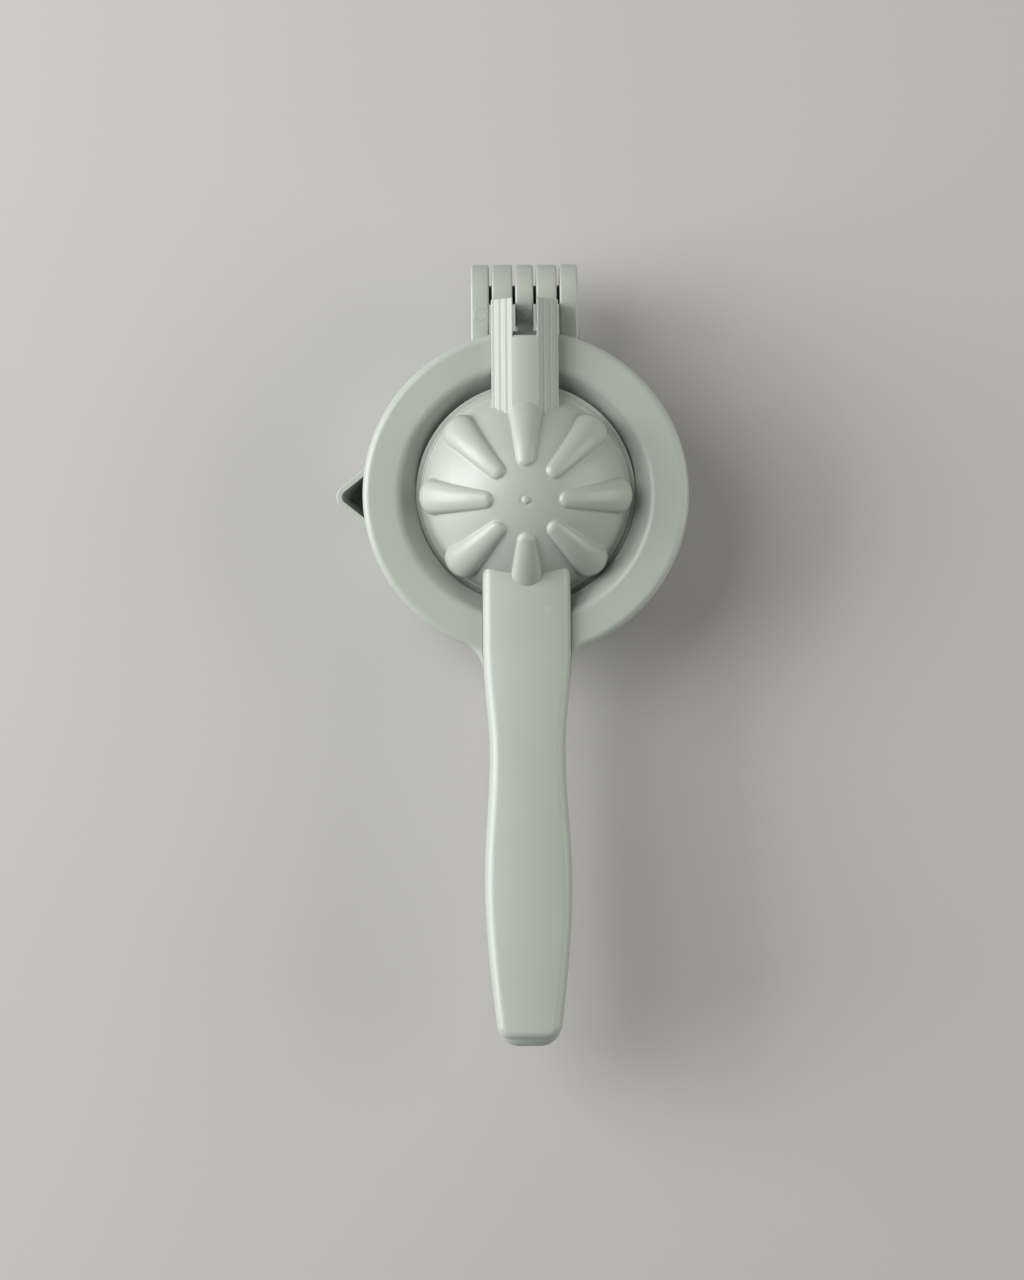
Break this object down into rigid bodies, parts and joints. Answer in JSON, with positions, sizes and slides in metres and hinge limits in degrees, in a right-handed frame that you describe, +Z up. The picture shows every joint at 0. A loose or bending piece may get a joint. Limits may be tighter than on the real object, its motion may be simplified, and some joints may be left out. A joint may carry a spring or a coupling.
{
  "type": "lemon squeezer",
  "caption": "Two-handled lemon squeezer with a fluted press cap hinged over a strainer ring and a juice cup with a side pouring lip.",
  "frame": {"origin": "centre of the juice cup's flat foot, on the table", "axes": "+Z up, +Y from the handles towards the hinge, -X towards the pouring lip"},
  "size_m": [0.098, 0.2167, 0.0518],
  "materials": {
    "sage_plastic": "satin moulded",
    "pin_steel": "drawn rod"
  },
  "bodies": {
    "frame": {"lower_arm": "sage_plastic", "juice_cup": "sage_plastic", "strainer": "sage_plastic", "hinge_pin": "pin_steel"},
    "press": {"upper_arm": "sage_plastic"}
  },
  "joints": [
    {"name": "press_hinge", "type": "hinge", "parent": "frame", "child": "press", "pos_m": [0, 0.056, 0.022], "axis": [-1, 0, 0], "range_deg": [0, 165]}
  ]
}
